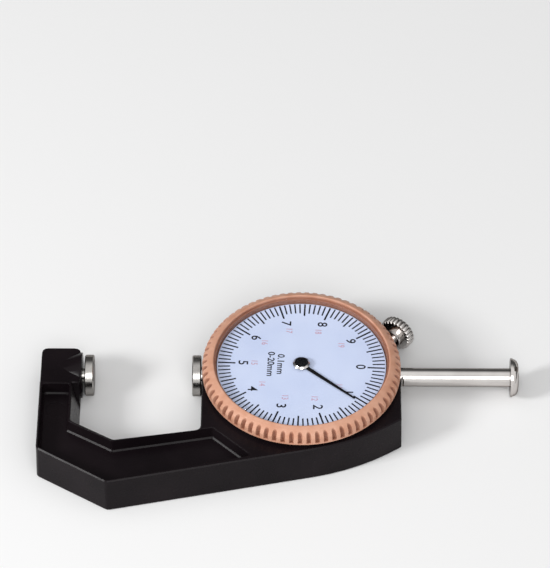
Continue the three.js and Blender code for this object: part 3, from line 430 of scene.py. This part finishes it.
def even(count):
    """Angles of a full turn in even steps."""
    return np.arange(count) * TURN / count


def lies_at(edge, level):
    """Whether an edge is sharp, convex and level, at the given height in metres."""
    near = all(abs(corner.co.z - level) < 0.002 * MM for corner in edge.verts)
    return near and len(edge.link_faces) == 2 and edge.calc_face_angle_signed() > math.radians(60)


def weighted_normals(mesh, sharp):
    """Normals of the corners of faces. Each is the mean of the normals of the faces round its
    point that are turned less than the sharp angle from its own, weighted by the area of the whole
    plane that such a face belongs to and by its angle at the point. So planes stay flat, and
    narrow faces look round."""
    place = field(mesh.vertices, "co", np.float32, 3)
    point = field(mesh.loops, "vertex_index", np.int32)
    first = field(mesh.polygons, "loop_start", np.int32)
    size = field(mesh.polygons, "loop_total", np.int32)
    normal = field(mesh.polygons, "normal", np.float32, 3)
    centre = field(mesh.polygons, "center", np.float32, 3)

    # Faces are on one plane where their normals agree to 0.01 and their distances from the origin
    # to 0.01 mm
    distance = (normal * centre).sum(1) / (0.01 * MM)
    key = np.rint(np.column_stack([100 * normal, distance]))
    plane = np.unique(key, axis=0, return_inverse=True)[1].ravel()
    wide = np.bincount(plane, field(mesh.polygons, "area", np.float32))[plane]

    face = np.repeat(np.arange(len(size)), size)
    step = np.arange(len(point)) - first[face]
    ahead = place[point[first[face] + (step + 1) % size[face]]] - place[point]
    behind = place[point[first[face] + (step - 1) % size[face]]] - place[point]
    # A side without length is given one too small to matter, so that nothing is divided by 0
    length = np.maximum(np.linalg.norm(ahead, axis=1) * np.linalg.norm(behind, axis=1), 1e-20)
    angle = np.arccos(np.clip((ahead * behind).sum(1) / length, -1, 1))
    weight = (wide[face] * angle)[:, None]

    # Each corner meets all the corners at its point in turn, itself first
    order = np.argsort(point, kind="stable")
    count = np.bincount(point, minlength=len(place))[point[order]]
    start = np.searchsorted(point[order], point[order])
    rank = np.arange(len(order)) - start
    own = normal[face]
    total = np.zeros_like(own)
    for shift in range(count.max()):
        other = order[start + (rank + shift) % count]
        near = (own[order] * own[other]).sum(1) > math.cos(math.radians(sharp))
        near &= shift < count
        total[order] += np.where(near[:, None], own[other] * weight[other], 0)
    return total / np.linalg.norm(total, axis=1, keepdims=True)


def smoothed(node, edges=(), turn=0.0, sharp=28):
    """A copy of a CAD node with its loose triangles merged and its narrow faces shaded as round.
    The edges are pairs of a level and the radius that sharp convex edges get there. The turn is
    about the spindle."""
    build = merged(node)
    for level, radius in edges:
        rims = [edge for edge in build.edges if lies_at(edge, level * MM)]
        bmesh.ops.bevel(
            build,
            geom=rims,
            offset=radius * MM,
            offset_type="OFFSET",
            segments=4,
            profile=0.5,
            affect="EDGES",
        )
    axis = (0, SPINDLE_Y * MM, SPINDLE_Z * MM)
    bmesh.ops.rotate(build, cent=axis, matrix=Matrix.Rotation(turn, 3, "X"), verts=build.verts)
    mesh = mesh_from(build, node + "_skin")
    coat(mesh, FINISHES[SLOT_OF[node]])
    piece = shaded(node + "_skin", mesh, sharp)
    mesh.normals_split_custom_set(weighted_normals(mesh, sharp).tolist())
    stands_for(piece, node)


def bezel():
    """Ring with 72 flutes. Each flute is a round-bottomed trough: its floor is straight up the
    side and leans in above the shoulder, and its section is half an ellipse. A point's radius is
    the lesser of the ring's own and the trough's, so the flutes end in arches on the shoulder."""
    foot = [(17.06, BEZEL_LOW), (20.85, BEZEL_LOW), (21.02, 9.86), (BEZEL_RADIUS, 9.98)]
    side = [(BEZEL_RADIUS, z) for z in (10.16, 10.245, 10.255, 10.4, 10.9, 11.35)]
    bend = [(BEZEL_RADIUS, SHOULDER), (21.0, 11.8), (20.68, 12.355)]
    bend = np.array([*bend, (20.2, 12.73), (19.675, 13.077), (19.1, 13.33)])
    level = np.linspace(SHOULDER, 13.3, 24)
    slope = np.stack([np.interp(level, bend[:, 1], bend[:, 0]), level], axis=1).tolist()
    lip = [(18.98, 13.375), (18.9, 13.39), (18.72, 13.39), (18.66, 13.33)]
    seat = [(18.65, 12.7), (18.25, 12.7), (18.25, DIAL_LOW)]
    inside = [*seat, (17.45, DIAL_LOW), (17.45, 10.0), (17.06, 10.0)]
    profile = foot + side + slope + lip + inside

    def flute(t, r, h):
        across = ((t - FLUTE_TURN) * FLUTES / TURN + 0.5) % 1 - 0.5
        floor = BEZEL_RADIUS - FLUTE_DEPTH - FLUTE_LEAN * np.maximum(0, h - SHOULDER)
        rounding = 1 - np.sqrt(np.clip(1 - (across / FLUTE_HALF) ** 2, 0, 1))
        trough = floor + FLUTE_DEPTH * rounding
        trough = np.where(np.abs(across) < FLUTE_HALF, trough, BEZEL_RADIUS)
        # The lip, the inside and the foot stay plain
        outside = (r > 19) & (h > FLUTE_LOW)
        return np.where(outside, np.minimum(r, trough), r)

    # Columns, as shares of a flute's spacing, lie closest together at the edges of a flute
    half = np.array([0.12, 0.19, 0.235, 0.262, 0.275, 0.36])
    share = np.concatenate([[-0.5], -half[::-1], [0], half])
    angles = (FLUTE_TURN + (np.arange(FLUTES)[:, None] + share) * TURN / FLUTES).ravel()
    plastic = [FINISHES["bezel_plastic"]]
    piece = turned_piece("bezel_ring", profile, angles, plastic, None, flute, ring=True, sharp=50)

    # Painted shade goes by how deep a point lies in its flute, and the crystal's seat on the
    # inside gets a fixed share of it
    x, y, _ = field(piece.data.vertices, "co", np.float32, 3).T
    depth = (np.repeat(np.asarray(profile)[:, 0], len(angles)) - np.hypot(x, y) / MM) / FLUTE_DEPTH
    depth[-len(inside) * len(angles) :] = SEAT_SHADE
    piece.data.attributes.new("painted_shade", "FLOAT", "POINT").data.foreach_set("value", depth)
    stands_for(piece, "bezel")


def dial_plate():
    """Flat ring of painted sheet with a rolled edge: its section turned about the dial's axis."""
    back = [(1.1, DIAL_LOW), (17.95, DIAL_LOW), (DIAL_RADIUS, 11.15)]
    front = [(DIAL_RADIUS, 11.53), (17.93, DIAL_TOP), (1.17, DIAL_TOP), (1.1, 11.55)]
    piece = turned_piece("dial_face", back + front, even(256), [FINISHES["dial_paint"]], ring=True)
    stands_for(piece, "dial_plate")


def crystal():
    """Clear cap, a disc with a rounded edge over a thin skirt: its section turned about the dial's
    axis."""
    skirt = [(17.75, CRYSTAL_LOW), (17.75, 11.66), (18.15, 11.66), (18.15, CRYSTAL_LOW)]
    edge = [(18.6, CRYSTAL_LOW), (18.6, 13.1), (18.55, 13.22), (18.45, 13.31)]
    edge += [(18.3, 13.36), (18.1, 13.39)]
    face = [(17.6, CRYSTAL_TOP), (9, CRYSTAL_TOP), (0, CRYSTAL_TOP)]
    profile = [(0, CRYSTAL_LOW), (9, CRYSTAL_LOW), *skirt, *edge, *face]
    piece = turned_piece("crystal_cap", profile, even(256), [FINISHES["clear_acrylic"]])
    stands_for(piece, "crystal")


def pointer():
    """Thin blade that tapers to its tip, on a round boss. The blade is a row of rectangles, each
    as wide as the taper is there."""
    paint = [FINISHES["pointer_paint"]]
    flank = [(1.5, POINTER_LOW), (1.55, 11.9), (1.55, 12.15), (1.5, BOSS_TOP)]
    boss = turned_piece("pointer_boss", [(0, POINTER_LOW), *flank, (0, BOSS_TOP)], even(64), paint)
    along = np.array([-0.6, 1.4, 8.0, 14.8])
    half = np.array([0.42, 0.42, 0.33, 0.17])
    side = np.array([-1, 1, 1, -1])
    level = np.array([POINTER_LOW, POINTER_LOW, POINTER_TOP, POINTER_TOP])
    across = np.outer(half, side).ravel()
    points = np.stack([np.repeat(along, 4), across, np.tile(level, 4)], axis=1)
    faces = grid_faces(4, 4, False).tolist() + [(3, 2, 1, 0), (12, 13, 14, 15)]
    blade = mesh_object("pointer_blade", points, faces, paint, 30)
    blade.data.transform(Matrix.Rotation(POINTER_TURN, 4, "Z"))
    both = bmesh.new()
    both.from_mesh(boss.data)
    both.from_mesh(blade.data)
    bmesh.ops.recalc_face_normals(both, faces=both.faces)
    both.to_mesh(blade.data)
    both.free()
    bpy.data.objects.remove(boss)
    stands_for(blade, "pointer")


def pointer_cap():
    """Cap of the pointer: a bright flank under a lacquered dome, a quarter ellipse turned about
    the axis."""
    angle = np.linspace(0, math.pi / 2, 10)
    dome = np.stack([1.42 * np.cos(angle), DOME_LOW + 0.1 * np.sin(angle)], axis=1).tolist()
    foot = [(0, BOSS_TOP), (1.7, BOSS_TOP)]
    flank = [(1.76, 12.22), (1.79, 12.25), (1.79, 12.27), (1.44, DOME_LOW)]
    materials = [FINISHES["pointer_paint"], FINISHES["chrome_plate"]]
    piece = turned_piece("cap_dome", foot + flank + dome, even(96), materials, sharp=25)
    for face in piece.data.polygons:
        face.material_index = int(face.center.z < DOME_LOW * MM)
    stands_for(piece, "pointer_cap")


def lock_head():
    """Lock screw, a profile turned about its own axis. The rim of its head falls between 24
    rounded ridges: its height there is the size of a sine to the power 0.6, which makes each ridge
    round and each valley narrow."""
    thread = [(1.25, 4.15), (1.25, 13.13)]
    collar = [(2.1, 13.13), (2.2, 13.23), (2.2, 14.53)]
    under = [(3.3, 14.53), (3.5, 14.56), (3.72, 14.7), (3.8, 14.9)]
    over = [(3.8, 16.36), (3.72, 16.56), (3.5, 16.7), (3.3, 16.73)]
    end = [(2.5, 16.73), (2.4, 16.66), (0, 16.66)]
    profile = [(0, 2.95), (0.4, 2.95), *thread, *collar, *under, *over, *end]

    def knurl(t, r, h):
        ridge = np.abs(np.sin(t * KNURLS / 2)) ** KNURL_POWER
        # The collar and the flat faces of the head stay plain
        on_rim = (r > 3.3) & (h > 14.5)
        return r - KNURL_DEPTH * (1 - ridge) * on_rim

    turn = Matrix.Rotation(LOCK_TURN, 4, "Z") @ Matrix.Rotation(math.pi / 2, 4, "Y")
    place = Matrix.Translation(LOCK_CROSSING) @ turn
    chrome = [FINISHES["chrome_plate"]]
    angles = even(12 * KNURLS)
    piece = turned_piece("knurled_screw", profile, angles, chrome, place, knurl, sharp=40)
    stands_for(piece, "lock_screw")


def return_spring():
    """The CAD spring, cut across into its two hooks and its coil. One hook stays on the case's
    post, the other goes with the spindle's pin, and the coil rides with the case on a mesh of its
    own."""
    spans = {
        "spring_post_hook": [(COIL_FIRST, 1)],
        "spring_coil": [(COIL_FIRST, -1), (COIL_LAST, 1)],
        "spring_pin_hook": [(COIL_LAST, -1)],
    }
    for name, cuts in spans.items():
        build = merged("return_spring")
        for x, side in cuts:
            whole = build.verts[:] + build.edges[:] + build.faces[:]
            cut = bmesh.ops.bisect_plane(
                build, geom=whole, plane_co=(x * MM, 0, 0), plane_no=(side, 0, 0), clear_outer=True
            )
            rims = [part for part in cut["geom_cut"] if isinstance(part, bmesh.types.BMEdge)]
            bmesh.ops.holes_fill(build, edges=rims)
        mesh = mesh_from(build, name)
        coat(mesh, FINISHES["spring_steel"])
        piece = shaded(name, mesh, 50)
        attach(piece, "spindle_set" if name == "spring_pin_hook" else "case")
        if name == "spring_coil":
            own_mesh(piece)
            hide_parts("return_spring")


def ticks():
    """100 radial strokes, longer at the halves and longest at the numerals, each a thin box of
    ink: its corners are the products of two radii, two sides and two levels, turned to the
    stroke's place."""
    number = np.arange(100)
    kind = np.where(number % 10 == 0, 0, np.where(number % 5 == 0, 1, 2))
    inner, half = np.array([LONG_STROKE, MIDDLE_STROKE, SHORT_STROKE])[kind].T[:, :, None]
    turn = (DIAL_TURN - number * TURN / 100)[:, None]
    radius = inner + np.array([0, 1, 1, 0] * 2) * (STROKE_OUTER - inner)
    across = np.array([-1, -1, 1, 1] * 2) * half
    x = radius * np.cos(turn) - across * np.sin(turn)
    y = radius * np.sin(turn) + across * np.cos(turn)
    level = np.broadcast_to(np.repeat([INK_LOW, INK_TOP], 4), x.shape)
    points = np.stack([x, y, level], axis=-1).reshape(-1, 3)
    ends = [(3, 2, 1, 0), (4, 5, 6, 7)]
    box = np.array([*ends, (0, 1, 5, 4), (1, 2, 6, 5), (2, 3, 7, 6), (3, 0, 4, 7)])
    faces = (box + 8 * number[:, None, None]).reshape(-1, 4).tolist()
    printed(mesh_object("dial_ticks", points, faces, [BLACK_INK], 30))


def lettering(name, words, material, weight):
    """Words printed on the dial: each is (text, height, centre x, centre y, width share). The
    weight is added to the strokes' edges."""
    build = bmesh.new()
    for text, height, x, y, width in words:
        curve = bpy.data.curves.new("word", "FONT")
        curve.body = text
        curve.align_x = "CENTER"
        curve.align_y = "CENTER"
        # The built-in letters are 0.7 of their size tall
        curve.size = height / 0.7
        curve.offset = weight
        curve.extrude = (INK_TOP - INK_LOW) / 2
        curve.resolution_u = 3
        holder = added("word", curve)
        bpy.context.view_layer.update()
        shown = holder.evaluated_get(bpy.context.evaluated_depsgraph_get())
        mesh = bpy.data.meshes.new_from_object(shown)
        middle = Matrix.Translation((x, y, (INK_LOW + INK_TOP) / 2))
        upright = Matrix.Rotation(-math.pi / 2, 4, "Z") @ Matrix.Diagonal((width, 1, 1, 1))
        mesh.transform(Matrix.Rotation(DIAL_TURN, 4, "Z") @ middle @ upright)
        build.from_mesh(mesh)
        bpy.data.objects.remove(holder)
        bpy.data.meshes.remove(mesh)
    # The words are still in millimetres here
    bmesh.ops.remove_doubles(build, verts=build.verts, dist=0.0001)
    bmesh.ops.recalc_face_normals(build, faces=build.faces)
    mesh = mesh_from(build, name)
    mesh.transform(Matrix.Scale(MM, 4))
    coat(mesh, material)
    printed(added(name, mesh))


def dial_printing():
    """Numerals 0 to 9 clockwise from +X, a second row for the second turn, and the two lines of
    the range."""
    angle = -np.arange(10) * TURN / 10
    ways = list(enumerate(zip(np.cos(angle), np.sin(angle))))
    black = [(str(k), 2.05, 12.5 * x, 12.5 * y + 0.15, 0.95) for k, (x, y) in ways]
    black += [("0.1mm", 1.45, -4.5, 0.1, 1.02), ("0-20mm", 1.45, -6.6, 0.05, 1.02)]
    red = [(str(10 + k), 1.35, 10.1 * x, 10.1 * y + 0.35, 0.8) for k, (x, y) in ways[1:]]
    ticks()
    lettering("dial_numerals", black, BLACK_INK, 0.025)
    lettering("dial_second_turn", red, RED_INK, 0.0)


def dress():
    """Puts a finish on every CAD node, and the new pieces over the ones that show."""
    for node, piece in frame["nodes"].items():
        coat(piece.data, FINISHES[SLOT_OF[node]])
    smoothed("frame", edges=CASE_EDGES)
    smoothed("spindle_button", turn=BUTTON_TURN)
    metal = ["fixed_anvil", "moving_anvil", "spindle", "spindle_bush_front", "spindle_bush_rear"]
    screws = [f"rear_cover_screw_{number}" for number in (1, 2, 3)]
    for node in ["rear_cover", *metal, *screws]:
        smoothed(node)
    bezel()
    dial_plate()
    crystal()
    pointer()
    pointer_cap()
    lock_head()
    return_spring()
    dial_printing()


def floor():
    """Pale paper on a table, 3 m to each side, which keeps the object's shadow. It lies a hair
    below the object, so that the two don't share a plane."""
    material, _, shader, _ = finish("pale paper", Roughness=0.9, Specular_IOR_Level=0.1)
    shader.inputs["Base Color"].default_value = linear("#efefef")
    corners = [(x * 3000, y * 3000, -0.02) for x, y in ((-1, -1), (1, -1), (1, 1), (-1, 1))]
    mesh_object("paper", corners, [(0, 1, 2, 3)], [material])


def lamp(name, place, size, power):
    """Soft square lamp that faces the object, with its place and size in metres and its power in
    watts."""
    light = bpy.data.lights.new(name, "AREA")
    light.size = size
    light.energy = power
    holder = added(name, light)
    holder.location = place
    holder.rotation_euler = (-Vector(place)).to_track_quat("-Z", "Y").to_euler()


def studio():
    """Pale surroundings: white where the eye looks. Reflections and soft light get the full
    strength only from above and in front, and a tenth of it from behind, and soft light is a
    little under white, so that pale surfaces don't clip. One soft lamp stands at the upper left in
    front, and a weaker one behind the camera."""
    world = bpy.data.worlds.new("studio")
    world.use_nodes = True
    tree = world.node_tree
    rays = add(tree, "LightPath").outputs
    eye = rays["Is Camera Ray"]
    seen = add(tree, "Math", {0: eye, 1: rays["Is Glossy Ray"]}, operation="MAXIMUM").outputs[0]
    clear = add(tree, "Math", {0: seen, 1: rays["Is Transmission Ray"]}, operation="MAXIMUM")
    level = add(tree, "MapRange", {"Value": clear.outputs[0]}, To_Min=0.77, To_Max=1.0)
    # How far a direction leans to the one that is above and in front
    direction = add(tree, "TexCoord").outputs["Generated"]
    lean = add(tree, "VectorMath", {0: direction}, operation="DOT_PRODUCT")
    lean.inputs[1].default_value = (0, -0.6, 0.8)
    lean = lean.outputs["Value"]
    front = add(tree, "MapRange", {"Value": lean}, From_Min=0.1, From_Max=0.6, To_Min=0.1)
    share = add(tree, "Math", {0: front.outputs[0], 1: eye}, operation="MAXIMUM")
    strength = add(tree, "Math", {0: level.outputs[0], 1: share.outputs[0]}, operation="MULTIPLY")
    shade = tree.nodes["Background"]
    shade.inputs["Color"].default_value = (1, 1, 1, 1)
    tree.links.new(strength.outputs[0], shade.inputs["Strength"])
    bpy.context.scene.world = world
    lamp("key", (-0.71, -0.32, 0.47), 0.2, 4.6)
    lamp("fill", (0.06, -0.66, 0.66), 0.45, 2.4)


def camera():
    """Camera at the photograph's place and angle."""
    data = bpy.data.cameras.new("camera")
    data.lens = LENS
    data.sensor_width = 36
    data.clip_start = 0.01
    data.clip_end = 20
    holder = added("camera", data)
    holder.location = EYE
    holder.rotation_euler = LOOK.to_track_quat("-Z", "Y").to_euler()
    bpy.context.scene.camera = holder
    bpy.context.scene.view_settings.view_transform = "Standard"


dress()
floor()
studio()
camera()
